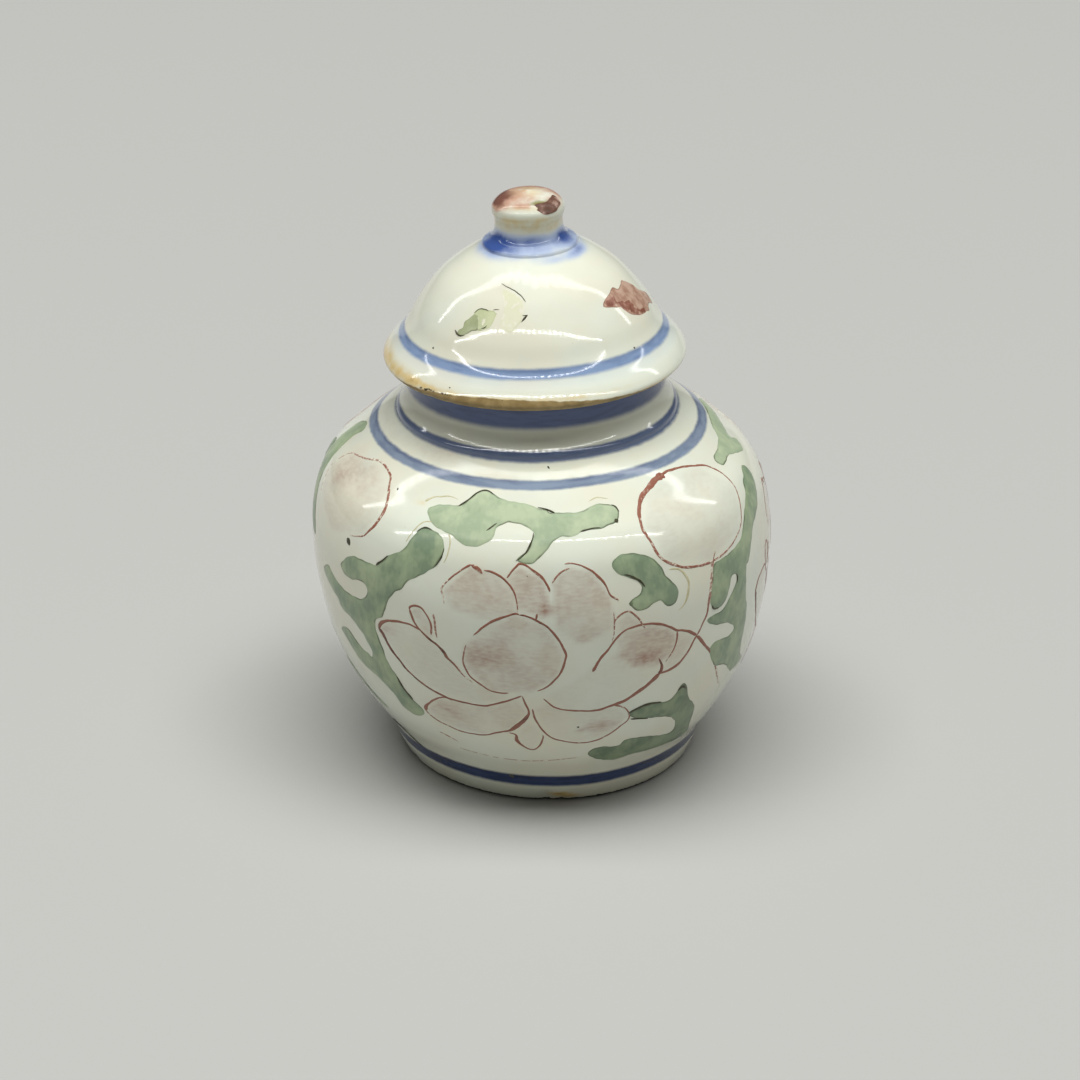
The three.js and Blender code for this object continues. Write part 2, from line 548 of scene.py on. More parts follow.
class Finish:
    """A material's node tree, with short calls for the few nodes that these finishes are made of."""

    def __init__(self, name, roughness):
        self.material = bpy.data.materials.new(name)
        self.material.use_nodes = True
        self.tree = self.material.node_tree
        self.shader = self.tree.nodes["Principled BSDF"]
        self.shader.inputs["Roughness"].default_value = roughness
        self.place = self.value("place", "Vector")

    def add(self, kind, inputs=(), **settings):
        node = self.tree.nodes.new("ShaderNode" + kind)
        for key, setting in settings.items():
            setattr(node, key, setting)
        for key, value in dict(inputs).items():
            if isinstance(value, bpy.types.NodeSocket):
                self.tree.links.new(value, node.inputs[key])
            else:
                node.inputs[key].default_value = value
        return node

    def value(self, name, output="Fac"):
        return self.add("Attribute", attribute_name=name).outputs[output]

    def noise(self, scale, detail=3.0, stretch=(1, 1, 1), shift=0.0):
        """Cloudy noise with so many waves per mm, shifted so that no two are alike."""
        moved = self.add("Mapping", {"Vector": self.place, "Scale": stretch, "Location": (shift,) * 3})
        inputs = {"Vector": moved.outputs[0], "Scale": scale, "Detail": detail}
        return self.add("TexNoise", inputs).outputs["Fac"]

    def math(self, operation, a, b=0.0):
        return self.add("Math", {0: a, 1: b}, operation=operation, use_clamp=False).outputs[0]

    def fade(self, value, low, high, start=0.0, end=1.0):
        """The value turned smoothly from start at low to end at high."""
        inputs = {"Value": value, "From Min": low, "From Max": high, "To Min": start, "To Max": end}
        return self.add("MapRange", inputs, interpolation_type="SMOOTHSTEP").outputs[0]

    def mix(self, share, a, b):
        a = rgb(a) if isinstance(a, str) else a
        b = rgb(b) if isinstance(b, str) else b
        return self.add("Mix", {0: share, 6: a, 7: b}, data_type="RGBA").outputs[2]

    def times(self, *shares):
        product = shares[0]
        for share in shares[1:]:
            product = self.math("MULTIPLY", product, share)
        return product

    def relief(self, height, distance, strength=1.0):
        inputs = {"Height": height, "Distance": distance * MM, "Strength": strength}
        bump = self.add("Bump", inputs)
        self.tree.links.new(bump.outputs[0], self.shader.inputs["Normal"])

    def colour(self, socket):
        self.tree.links.new(socket, self.shader.inputs["Base Color"])

    def rough(self, socket):
        self.tree.links.new(socket, self.shader.inputs["Roughness"])


def ground(g):
    """White glaze with warmer and cooler clouds, and with the thin red wash brushed unevenly on it."""
    colour = g.mix(g.fade(g.noise(0.05, shift=7), 0.35, 0.7), CREAM, CREAM_WARM)
    colour = g.mix(g.fade(g.noise(0.12, shift=3), 0.5, 0.8, 0.0, 0.5), colour, CREAM_COOL)
    brushed = g.noise(1.1, 6, stretch=(0.6, 0.6, 1.6), shift=11)
    mottled = g.noise(0.13, shift=12)
    uneven = g.times(g.fade(brushed, 0.3, 0.7, 0.6, 1.0), g.fade(mottled, 0.3, 0.62, 0.4, 1.0))
    return g.mix(g.times(g.value("blush"), uneven), colour, BLUSH)


def banded(g, colour, height, bands):
    """Brushed blue bands that wander a little, with feathered edges and darker where the blue pooled."""
    wander = g.fade(g.noise(0.03, 1, shift=20), 0.2, 0.8, -0.2, 0.2)
    feather = g.fade(g.noise(0.5, shift=5), 0.2, 0.8, -0.05, 0.05)
    streaks = g.noise(0.7, 5, stretch=(0.3, 0.3, 2.0), shift=9)
    for level, half, soft, cover, light, dark in bands:
        off = g.math("SUBTRACT", g.math("ADD", g.math("ADD", height, wander), feather), level)
        share = g.fade(g.math("ABSOLUTE", off), half - soft, half + soft, 1.0, 0.0)
        pooled = g.fade(off, -0.2 * half, half, 0.0, 0.75)
        tone = g.math("ADD", pooled, g.fade(streaks, 0.35, 0.7, -0.2, 0.6))
        colour = g.mix(g.times(share, cover), colour, g.mix(tone, light, dark))
    return colour


def stained(g, colour):
    """The cloudy blue wash, then the red, olive and ochre stains."""
    blue = g.times(g.value("blue"), g.fade(g.noise(0.3, shift=15), 0.25, 0.7, 0.75, 1.1))
    colour = g.mix(g.fade(blue, 0.0, 0.45), colour, ICE_BLUE)
    colour = g.mix(g.fade(blue, 0.3, 1.0), colour, COBALT)
    patchy = g.fade(g.noise(0.5, 4, shift=18), 0.25, 0.75, -0.2, 0.2)
    for key, thin, thick in STAIN_COLOURS:
        amount = g.value(key)
        amount = g.math("ADD", amount, g.times(patchy, g.fade(amount, 0.0, 0.5)))
        colour = g.mix(g.fade(amount, 0.0, 0.8), colour, thin)
        colour = g.mix(g.fade(amount, 0.7, 1.4), colour, thick)
    return colour


def bare_share(g, height, clay_below, clay_above):
    """Where the clay is bare: below or above a height, with a frayed edge that the value "bare" raises."""
    edge = g.math("SUBTRACT", height, g.value("bare"))
    edge = g.math("ADD", edge, g.fade(g.noise(0.5, 4, shift=6), 0.2, 0.8, -0.12, 0.12))
    if clay_below is not None:
        return g.fade(edge, clay_below + 0.1, clay_below - 0.1)
    if clay_above is not None:
        return g.fade(edge, clay_above - 0.1, clay_above + 0.1)
    return 0.0


def glaze(name, bands=(), clay_below=None, clay_above=None, clay=(CLAY, CLAY_DARK)):
    """White glaze with what lies under it and on it: bands, washes, stains, bare clay, pinholes, and dirt,
    which at the foot's bottom edge is also painted shade.
    """
    g = Finish(name, GLAZE_ROUGH)
    height = g.add("SeparateXYZ", {0: g.place}).outputs[2]
    colour = stained(g, banded(g, ground(g), height, bands))
    bare = bare_share(g, height, clay_below, clay_above)
    colour = g.mix(bare, colour, g.mix(g.fade(g.noise(0.5, 4, shift=16), 0.35, 0.65), *clay))
    crumbs = g.fade(g.noise(1.1, shift=21), 0.3, 0.7, -0.3, 0.3)
    # Dirt darkens the glaze; all round the foot's bottom edge the same value is also painted shade where the
    # foot meets the floor.
    dirt_and_shade = g.fade(g.math("ADD", g.value("grime_and_shade"), crumbs), 0.35, 0.6)
    colour = g.mix(dirt_and_shade, colour, GRIME_AND_SHADE)
    pinholes = g.fade(g.noise(1.7, 2, shift=31), 0.78, 0.82, 0.0, 0.5)
    g.colour(g.mix(pinholes, colour, GRIME_AND_SHADE))
    g.rough(g.fade(g.math("MAXIMUM", bare, dirt_and_shade), 0.0, 1.0, GLAZE_ROUGH, CLAY_ROUGH))
    g.relief(g.noise(0.12, 2, shift=2), 0.05)
    g.shader.inputs["Coat Weight"].default_value = GLAZE_COAT
    g.shader.inputs["Coat Roughness"].default_value = GLAZE_COAT_ROUGH
    return g.material


def iron_red():
    """Iron-red brush colour: dark where the brush was full, and broken and pale where it ran dry."""
    g = Finish("iron_red", BRUSHED_ROUGH)
    load = g.value("load")
    grain = g.noise(1.6, 4, shift=1)
    tone = g.math("ADD", load, g.fade(grain, 0.25, 0.75, -0.2, 0.2))
    colour = g.mix(g.fade(tone, 0.1, 0.55), IRON_PALE, IRON)
    colour = g.mix(g.fade(tone, 0.7, 1.05), colour, IRON_DARK)
    dry = g.fade(g.math("ADD", load, g.fade(grain, 0.3, 0.7, -0.35, 0.35)), 0.3, 0.0)
    g.colour(g.mix(dry, colour, CREAM_WARM))
    return g.material


def leaf_green(name, light, deep, edge=LEAF_EDGE, worn=0.0):
    """Thin green enamel, brushed unevenly, worn off in spots, and dark in places along its border."""
    g = Finish(name, ENAMEL_ROUGH)
    depth = g.value("load")
    cloud = g.noise(0.18, 4, shift=6)
    brushed = g.noise(0.8, 5, stretch=(1, 1, 0.5), shift=8)
    tone = g.math("ADD", g.fade(cloud, 0.3, 0.7), g.fade(brushed, 0.25, 0.75, -0.3, 0.3))
    colour = g.mix(tone, light, deep)
    border = g.fade(g.math("ADD", depth, g.fade(brushed, 0.2, 0.8, -0.1, 0.1)), 0.05, 0.4, 1.0, 0.0)
    patchy = g.fade(g.noise(0.2, shift=40), 0.45, 0.62, 0.15, 0.85)
    colour = g.mix(g.times(border, patchy), colour, edge)
    if worn:
        lost = g.fade(brushed, WORN_START - worn, WORN_START + 0.08 - worn)
        colour = g.mix(lost, colour, CREAM_WARM)
    g.colour(colour)
    g.relief(g.noise(0.8, shift=13), 0.04)
    return g.material


def worn_red(name, light, deep, soft=None):
    """A red wash worn thin in spots. Its border is a dark line, or blurred where a soft colour is given."""
    g = Finish(name, WORN_RED_ROUGH)
    grain = g.noise(0.7, 5, shift=17)
    depth = g.value("load")
    colour = g.mix(g.fade(grain, 0.35, 0.62), deep, light)
    colour = g.mix(g.fade(grain, 0.56, 0.72, 0.0, 0.7), colour, IRON_PALE)
    if soft:
        inside = g.math("ADD", depth, g.fade(grain, 0.3, 0.7, 0.3, -0.3))
        colour = g.mix(g.fade(inside, 0.0, 0.5), soft, colour)
    else:
        patchy = g.fade(g.noise(0.25, shift=23), 0.4, 0.55)
        border = g.fade(depth, 0.02, 0.3, 0.6, 0.0)
        colour = g.mix(g.times(border, patchy), colour, IRON_DARK)
    g.colour(colour)
    return g.material


def ink():
    """The dark olive colour of specks and of the leaves' outlines."""
    g = Finish("ink", INK_ROUGH)
    g.colour(g.mix(g.fade(g.noise(1.5), 0.35, 0.7), INK, GRIME_AND_SHADE))
    return g.material


def ghost():
    """The faint ochre halo left where the enamel crept."""
    g = Finish("ghost", HALO_ROUGH)
    g.colour(g.mix(g.fade(g.noise(0.8), 0.3, 0.7), HALO, HALO_DARK))
    return g.material


def biscuit():
    """Bare fired clay, dry and slightly gritty, with iron spots."""
    g = Finish("biscuit", BISCUIT_ROUGH)
    grit = g.noise(3.0, 4)
    colour = g.mix(g.fade(g.noise(0.15, 4), 0.3, 0.7), CLAY, CLAY_PALE)
    g.colour(g.mix(g.times(g.fade(grit, 0.66, 0.72), 0.6), colour, CLAY_DARK))
    g.relief(grit, 0.15)
    return g.material


# ---------------------------------------------------------------- the painting, as (angle, height) marks
# A brush line is its marks, its widths and its loads of colour, which are spread evenly along it.
POD = [
    ([(-5, 48.6), (-6, 48.8), (-8.6, 48.1), (-12.1, 46.7), (-16.4, 43.6)], (0.5, 0.7, 0.4), (0.8, 0.5)),
    ([(-18.3, 41.3), (-19.3, 38.7), (-19.3, 36.5), (-18.1, 34.3), (-16, 32.8), (-13.1, 31.4), (-10.2, 31.1),
     (-8.5, 31.2)], (0.3, 0.5, 0.5, 0.4), (0.4, 0.6, 0.6)),
    ([(-5, 48.6), (-3.4, 48.4), (-1.1, 47.6), (1.2, 46.4), (3.3, 44.4), (4.8, 42.2), (5.7, 40.3),
     (5.5, 39.1), (4.9, 37.2), (3.3, 34.9), (1.1, 33.1), (-1.4, 32)], (0.5, 0.6, 0.6, 0.4),
     (0.85, 0.6, 0.7)),
    ([(-1.2, 47.5), (-0.8, 48.9)], (0.4, 0.7), (0.7,)),
]
UPPER_PETALS = [
    ([(-5.4, 49.1), (-5.8, 52.2), (-6.9, 53.8), (-8.2, 55), (-9.8, 55.9), (-12, 56.5), (-13.6, 56.6)],
     (0.25, 0.4, 0.6, 0.5), (0.35, 0.7, 0.7)),
    ([(-14, 56), (-15.2, 56.7), (-16.9, 57.3)], (0.7, 1.3, 0.9), (0.55, 0.45)),
    ([(-16.9, 57.3), (-18, 56.9), (-19.7, 55.9), (-21.6, 54.7), (-23.1, 53.4), (-24.3, 52), (-23.7, 50.6),
     (-23.4, 49.2)], (0.6, 0.4, 0.5, 0.3), (0.6, 0.5, 0.3, 0.15)),
    ([(-8, 55.5), (-6.9, 56.6), (-5.6, 57.7), (-4.9, 58.1), (-3.4, 57.9), (-1.8, 57.2), (-0.2, 56.4),
     (1, 55.4), (1.9, 54.1), (2.3, 53.1)], (0.35, 0.6, 0.5, 0.5, 0.7), (0.7, 0.7, 0.6, 0.7)),
    ([(-3, 57.6), (-1.2, 56.7), (0.2, 55.8), (1.2, 54.9)], (0.2, 0.35, 0.2), (0.3,)),
    ([(3, 54.7), (4.2, 55.9), (5.5, 56.7), (7.4, 57.2)], (0.4, 0.5, 0.3), (0.4, 0.5)),
    ([(6.2, 58), (7.8, 58), (10, 57.6), (12.8, 56.4), (14.7, 54.8), (16, 53.3), (17, 51.4), (18.9, 50.3)],
     (0.4, 0.35, 0.7, 0.4, 0.5), (0.4, 0.6, 0.7, 0.4)),
    ([(17.4, 48.3), (17.5, 44.6), (17, 42.1)], (0.25, 0.3, 0.2), (0.38,)),
    ([(17.5, 44.6), (17.9, 46.6), (20.9, 47.9), (23.2, 46.4), (25.4, 43.6)], (0.4, 0.5, 0.45), (0.5, 0.4)),
]
SIDE_PETALS = [
    ([(-32.9, 46.2), (-33, 46.7), (-31.5, 47.4), (-29.8, 47.3), (-28.4, 46.3), (-27.5, 44.9), (-27.2, 43.4),
     (-27.4, 42)], (0.7, 0.5, 0.5, 0.8), (0.7, 0.7, 0.5)),
    ([(-26.4, 46.6), (-26.2, 45), (-26.1, 43.4), (-25.9, 41.6)], (0.6, 0.6, 0.4), (0.42, 0.38)),
    ([(-33, 46.3), (-32.1, 44), (-30.1, 42.2), (-28.3, 41), (-26, 40), (-24.3, 38.6), (-23.6, 37.6),
     (-21.6, 36), (-19.5, 33.9), (-17.5, 32.7)], (0.9, 0.5, 0.7, 0.9, 0.5, 0.25),
     (0.6, 0.7, 0.95, 0.9, 0.5, 0.15)),
    ([(-43.8, 39.4), (-42.6, 40.9), (-41, 41.8), (-39, 42.3), (-36.5, 42.8), (-33.6, 43), (-31.7, 42.7),
     (-30.1, 42.2)], (1.1, 0.8, 0.6, 0.55), (0.8, 0.6, 0.6)),
    ([(-43.8, 39.4), (-42.6, 38.6), (-41.3, 36.5), (-39.5, 34.6), (-38, 33.5), (-36.4, 32), (-33.6, 30.5),
     (-30, 29), (-27.4, 28.3), (-24.9, 27.8), (-21.3, 27.5), (-18.5, 27.4), (-15, 27.5), (-12, 28.3),
     (-9.4, 29.2), (-7.2, 30), (-5.4, 30.7)], (1.2, 0.9, 0.6, 0.7, 0.55, 0.6, 0.5),
     (0.95, 0.95, 0.8, 0.7, 0.75, 0.7)),
    ([(0, 30.2), (2.4, 28.3), (5.2, 27.4), (10, 26.8), (14, 26.7), (17.3, 27.3), (20.7, 28), (23.7, 29.2),
     (26.3, 30.4), (28.4, 31.6), (30.1, 32.7)], (0.4, 0.5, 0.6, 0.9, 1.1, 1.3), (0.7, 0.6, 0.7, 0.6, 0.7)),
    ([(29.9, 32.4), (30.6, 33.6), (30.4, 34.7), (29.5, 36.3)], (1.2, 0.8, 0.4), (0.8, 0.95)),
    ([(12.2, 36), (13.7, 38.2), (15.7, 40.2), (18, 42.5), (20, 43.9), (23, 44.5), (26.1, 44.4),
     (29.2, 43.8), (31.8, 42.8), (34.3, 41.3), (36.1, 40.9), (38.2, 40.1), (40.9, 38.5)],
     (0.9, 0.6, 0.5, 0.7, 0.6, 0.9), (0.7, 0.6, 0.6, 0.75, 0.6)),
    ([(40.9, 38.5), (39.8, 37.5), (38, 35.3), (35.5, 33.6), (32.4, 32.8), (30.1, 32.7)],
     (0.8, 0.6, 0.9, 0.7), (0.6, 0.55, 0.7)),
    ([(34.5, 41), (34.5, 39.3), (33.8, 37.4), (31.6, 35)], (0.6, 0.5, 0.3), (0.6, 0.35)),
    ([(40.9, 38.5), (44.5, 35.1), (47.1, 32.8), (50.4, 28.3), (53, 25), (56.5, 21.5)],
     (1.0, 0.8, 0.6, 0.45, 0.3), (0.6, 0.55, 0.35, 0.1)),
    ([(46.8, 52.4), (46.3, 51.5), (45.8, 49.6), (45.2, 48), (44.8, 46.5), (44.3, 44.6), (43.8, 42.3),
     (42.8, 40.9), (41.6, 39.3), (40.9, 38.6)], (1.3, 1.2, 0.9, 0.6, 0.6), (0.25, 0.3, 0.5, 0.6)),
]
LOWER_PETALS = [
    ([(-23.9, 27.4), (-25.5, 27.7), (-27.1, 27.5), (-29.7, 26.2), (-32.5, 24.1), (-33.6, 22.5)],
     (0.4, 0.5, 0.6, 1.2), (0.7, 0.6, 0.6)),
    ([(-33.6, 22.5), (-32, 21.3), (-29.8, 20.3), (-27.3, 19.8), (-24, 19.1), (-20.3, 19), (-16.7, 19.3),
     (-13.6, 20.3), (-11.4, 20.9), (-9, 21.7), (-6.8, 23.2), (-4.9, 24.9), (-3.9, 26.2), (-3.9, 27.3),
     (-4.5, 28.8), (-5.3, 30.7)], (0.6, 0.5, 0.5, 0.5, 0.6, 1.4, 0.6, 0.4), (0.4, 0.5, 0.7, 0.7, 0.8, 0.6)),
    ([(-9.6, 20.9), (-7.8, 20.4), (-7.7, 18.7), (-6, 17), (-4.2, 16.2), (-2.7, 16.3), (-1.2, 17.8),
     (-0.4, 19.8), (-0.5, 20.7)], (0.4, 1.0, 0.5, 0.5, 0.4), (0.6, 0.7, 0.6)),
    ([(-2.9, 27.6), (-2.2, 25), (-0.9, 22.7), (0.9, 20.6), (3.7, 19.2), (9.1, 18), (14, 18.1), (17.7, 19.4),
     (20.7, 21.3), (22.5, 22.5), (22.9, 24), (21.9, 25.6), (20.1, 26.7), (18, 27.4)],
     (0.5, 0.5, 0.5, 0.6, 0.4, 0.5), (0.6, 0.6, 0.5, 0.6, 0.4)),
    ([(-32, 17), (-29, 16.2), (-26.5, 15.3)], (0.3, 0.6, 0.2), (0.35,)),
    ([(-27, 13), (-15, 12.3), (-5, 12.2), (4, 12.8), (10, 13.2)], (0.2, 0.3, 0.2), (0.33,)),
]
RIGHT_CIRCLE = [
    (42.2, 67.3), (45.5, 67.6), (50.2, 67.4), (54.3, 67), (57.7, 66.5), (60.5, 66), (62.7, 65.3),
    (64.3, 64.3), (65.2, 63.2), (65.3, 61.9), (65, 60.7), (63.4, 58.8), (61.4, 56.6), (59.5, 55.1),
    (57.3, 54.2), (54.4, 53.3), (50.6, 52.6), (46.8, 52.4), (43.1, 52.5), (40.1, 52.9), (37.2, 53.5),
    (34.7, 54.4), (32.4, 55.5), (30.5, 57), (29.6, 58.9), (28.8, 60.4), (28.2, 61.8), (28.7, 63.2),
    (30, 64.5), (31.6, 65.4), (33.6, 66), (36.5, 66.6), (39.7, 67.2), (42.2, 67.3),
]
LEFT_CIRCLE = [
    (-49.7, 57), (-48, 58.5), (-46.7, 60), (-46, 61.9), (-47.1, 63.6), (-50, 65.3), (-52.4, 66.5),
    (-57.6, 67.2), (-61.8, 67.2), (-65.2, 66.8), (-68.1, 66.3), (-71.8, 65.9), (-77.7, 65.1), (-80, 64),
    (-81.5, 61.7), (-80, 59.4), (-78, 57.2),
]
CIRCLES = [
    (RIGHT_CIRCLE, (0.8, 0.6, 0.55, 0.4, 0.35, 0.4, 0.6, 0.7, 0.7, 0.8, 1.3, 1.7),
     (0.6, 0.5, 0.35, 0.45, 0.6)),
    ([(40.6, 67.1), (42.4, 67.4), (43.6, 67)], (1.6, 2.0, 1.2), (0.7,)),
    ([(48, 53.9), (47.2, 53), (46.7, 52)], (0.2, 0.35, 0.2), (0.6,)),
    (LEFT_CIRCLE, (0.5, 1.0, 0.7, 0.6, 0.6, 0.5, 0.4, 0.3, 0.2), (0.6, 0.4, 0.45, 0.3, 0.25, 0.1, 0.05)),
    ([(-49.7, 57), (-52, 56.3), (-55, 55.8)], (0.5, 0.3, 0.2), (0.4, 0.15)),
]
LOTUS = POD + UPPER_PETALS + SIDE_PETALS + LOWER_PETALS

TOP_LEAF = [
    (-32.8, 64.1), (-32.3, 64.6), (-30.5, 65.1), (-28.5, 65.3), (-25.4, 65.5), (-23.6, 65.6), (-21.9, 66.3),
    (-20.7, 66.9), (-19.5, 67.5), (-17.3, 68), (-15.3, 67.9), (-13.7, 67.6), (-11.6, 67.2), (-9, 66.9),
    (-5.1, 66.7), (-2, 66.4), (0, 66), (2.2, 65.8), (3.7, 65.4), (7.3, 65.3), (10.2, 65.2), (12, 65.2),
    (14.3, 65.5), (16.9, 65.9), (19.2, 65.9), (21.5, 65.6), (22.9, 65.3), (23.5, 64.5), (22.1, 63.4),
    (19.3, 63), (16.3, 62.7), (14, 62.8), (11.8, 62.7), (10, 62.2), (7.9, 62.1), (6.2, 62.2), (4.6, 61.9),
    (3.4, 61.3), (2.6, 60.7), (1.9, 60.2), (0.9, 59.6), (0, 59), (-1.3, 58.3), (-2.6, 58.1), (-3.8, 58.1),
    (-4.7, 58.4), (-5.6, 58.8), (-4, 59.7), (-3, 60.2), (-2.4, 60.9), (-1.8, 61.6), (-1.1, 62.7),
    (-1.8, 63.1), (-3.2, 63.6), (-5, 63.9), (-7.7, 64.1), (-9.5, 63.9), (-11.4, 63.2), (-12, 61.9),
    (-13.1, 61.3), (-15.1, 60.6), (-16.7, 60.3), (-18.4, 60.3), (-20, 60.5), (-21.8, 61.1), (-24.2, 61.7),
    (-26.7, 62), (-29.4, 62.5), (-31.5, 63.3),
]
LEFT_LEAF = [
    (-57.9, 49), (-56.7, 50.1), (-54.3, 51.7), (-51.9, 52.4), (-50, 52.5), (-47.5, 52.6), (-43.7, 52.8),
    (-42.3, 53.8), (-40, 55.6), (-37.6, 56.6), (-35.9, 57.5), (-34.5, 59.3), (-33.2, 60.9), (-31.5, 61.8),
    (-28.5, 61.7), (-25.8, 61), (-24.5, 59.4), (-25, 57.6), (-26.2, 56), (-28.5, 54.6), (-31, 53.2),
    (-33.5, 52), (-35, 50.3), (-37.3, 48.9), (-39, 47.3), (-40.2, 45.5), (-41, 43.9), (-42.2, 42.3),
    (-44.6, 40.9), (-44.9, 38.8), (-44.4, 37), (-43.5, 34.8), (-43.1, 32.9), (-42, 31), (-40.4, 29.5),
    (-39.6, 27.5), (-38.2, 25.6), (-36.8, 24.2), (-35.2, 23.3), (-34.3, 22.2), (-35.3, 20.7), (-38.4, 19.8),
    (-40, 20.1), (-42.4, 20.9), (-44.2, 23.8), (-46.6, 25.3), (-49.1, 26.5), (-53.2, 27.4), (-56, 28.3),
    (-58.2, 29.8), (-60, 31), (-61.7, 31.9), (-63, 32.8), (-60.5, 34.2), (-57.6, 34.3), (-55.5, 33.2),
    (-52.7, 31.9), (-50.5, 31.6), (-49, 31.1), (-48.2, 32.2), (-48.5, 33.3), (-49.7, 34.6), (-50.8, 35.9),
    (-53.7, 37.5), (-55.9, 38.3), (-59.4, 38.8), (-61.1, 40.5), (-65.2, 41.9), (-69, 43.8), (-67.5, 45.4),
    (-65, 46.3), (-63.8, 45.8), (-61.5, 44.8), (-58.7, 44.1), (-55.9, 43.7), (-52.2, 43.8), (-49.3, 44.2),
    (-47.5, 45.3), (-46.7, 46.7), (-47.3, 47.8), (-49.7, 48.1), (-52.4, 47.4), (-55.2, 47.3), (-57.2, 48),
]
RIGHT_LEAF = [
    (75.4, 62.2), (73.1, 61.4), (70.3, 60.7), (68.2, 59.3), (63.8, 57.2), (60.9, 54.8), (58.8, 53.2),
    (55, 52.4), (51, 52), (47.6, 51.9), (46.4, 51.3), (45.8, 49.5), (45.4, 48), (45.1, 46.6), (44.9, 44.6),
    (45.4, 43.6), (46.4, 42.7), (48.2, 42.4), (50, 42.9), (51.3, 44), (52, 45.6), (53, 47.4), (54.3, 47.7),
    (55.3, 46.8), (55.2, 46), (53.6, 44.4), (52.3, 43.3), (51.1, 42.4), (50.1, 41.6), (48.5, 41.4),
    (46.6, 41.4), (44.9, 41.3), (44, 40.7), (45.6, 39.7), (47.9, 38.8), (51.2, 38.2), (53.8, 37.2),
    (55.6, 35.9), (55.2, 34.9), (53, 34.6), (50, 35), (47.4, 35), (46.2, 34.1), (46.2, 33.2), (48.3, 30.3),
    (50.1, 28.9), (53.3, 28.2), (55.9, 27), (58.9, 24.9), (60.7, 24.2), (65, 24.1), (67, 25), (64, 26.9),
    (62.4, 29.7), (62, 32.9), (61.9, 36.1), (61.4, 39), (60.6, 40.5), (60, 43.7), (60, 47.5), (61.4, 48.1),
    (63.6, 50.6), (66.4, 53.4), (69.1, 54.5), (72.6, 56), (75.4, 58), (77.3, 59.3), (78.2, 60.6),
    (77.4, 61.9),
]
MIDDLE_LEAF = [
    (17.9, 56.8), (18.4, 57.6), (19.4, 58.2), (20.9, 58.5), (23.4, 58.4), (26.5, 57.7), (28.6, 56.8),
    (30.2, 55.5), (31.2, 54), (31.8, 52.9), (33.3, 51.5), (34.5, 50.3), (34.7, 48.7), (33.9, 47.4),
    (32.5, 46.9), (31.2, 47.3), (30, 48.3), (29.3, 48.7), (27.7, 48.3), (26.4, 47.8), (25, 47.5),
    (24, 47.5), (22.9, 47.9), (21.8, 48.7), (21.2, 49.3), (22.1, 49.9), (23.4, 50.4), (24.5, 51),
    (25, 51.9), (24.8, 52.5), (23.8, 53.3), (22.2, 54.1), (20.5, 54.7), (19.5, 55.1), (18.5, 55.9),
]
LOWER_LEAF = [
    (22.3, 24.6), (24.6, 25.2), (28, 25.8), (31, 25.5), (33.4, 25.2), (35.4, 25.6), (36.5, 26.6),
    (37.5, 28), (38.7, 28.4), (39.8, 27.2), (40.4, 26.3), (41.2, 24.6), (42.6, 23.2), (45.9, 20.6),
    (48, 17.2), (49.4, 15), (51.6, 12.6), (53.5, 11), (50, 10), (46, 10.2), (41, 10.5), (35, 10.8),
    (28.4, 11.2), (23.5, 10.5), (20, 11), (16.4, 12), (13.3, 13.6), (13.2, 15), (15, 15.8), (17.6, 15.9),
    (20.4, 15.4), (22.4, 15.6), (23.6, 16.8), (26, 16.9), (31.6, 16.2), (36, 15.2), (40.4, 14.6),
    (41.6, 15.2), (41, 17), (39, 19), (36, 20.6), (32, 21.5), (28, 22.2), (24.6, 23),
]
SMALL_LEAF = [
    (104, 68.4), (99, 68.3), (90, 68), (84.5, 67.6), (80.5, 66.6), (76.5, 66.3), (72.4, 66), (68.8, 65.9),
    (67, 65.3), (67.6, 64.6), (69.6, 64.2), (74.7, 64.4), (77.6, 64), (84.4, 62.7), (86.5, 62.7),
    (89.4, 63.7), (87.3, 64.6), (88.3, 65.2), (90.8, 65.6), (96, 66.2), (102, 66.6), (108, 67.5),
]
EDGE_LEAF = [
    (-86, 67.5), (-88, 65.5), (-85.5, 62), (-84, 59), (-81, 55), (-78.5, 52.3), (-76.5, 50.2), (-77, 48.7),
    (-80, 48.7), (-84, 51), (-88, 54), (-92, 58), (-96, 62), (-97, 66), (-91, 68),
]
BASE_SLIVER = [
    (-68, 24.5), (-62, 21.8), (-57.5, 19.6), (-53, 17.4), (-54, 16.4), (-58.5, 17.9), (-64, 20.4),
    (-69, 23),
]

# Each leaf's group, and the leaves that the back leaves out. A group has a seed and two tones of green; the
# shaded group is the green enamel darkened as painted shade, for the leaf low on the belly.
LEAVES = [
    ("pale_green_enamel", TOP_LEAF),
    ("pale_green_enamel", SMALL_LEAF),
    ("green_enamel", LEFT_LEAF),
    ("green_enamel", RIGHT_LEAF),
    ("green_enamel", MIDDLE_LEAF),
    ("green_enamel", EDGE_LEAF),
    ("green_enamel", BASE_SLIVER),
    # The lowest leaf wears the green darkened as painted shade of the lower belly.
    ("shaded_green_enamel", LOWER_LEAF),
]
FRONT_ONLY = (EDGE_LEAF, SMALL_LEAF)
LEAF_GROUPS = {
    "green_enamel": (2, LEAF_SHADE, LEAF_SHADE_DEEP),
    "pale_green_enamel": (10, LEAF, LEAF_DEEP),
    "shaded_green_enamel": (11, LEAF_IN_SHADE, LEAF_IN_SHADE_DEEP),
}

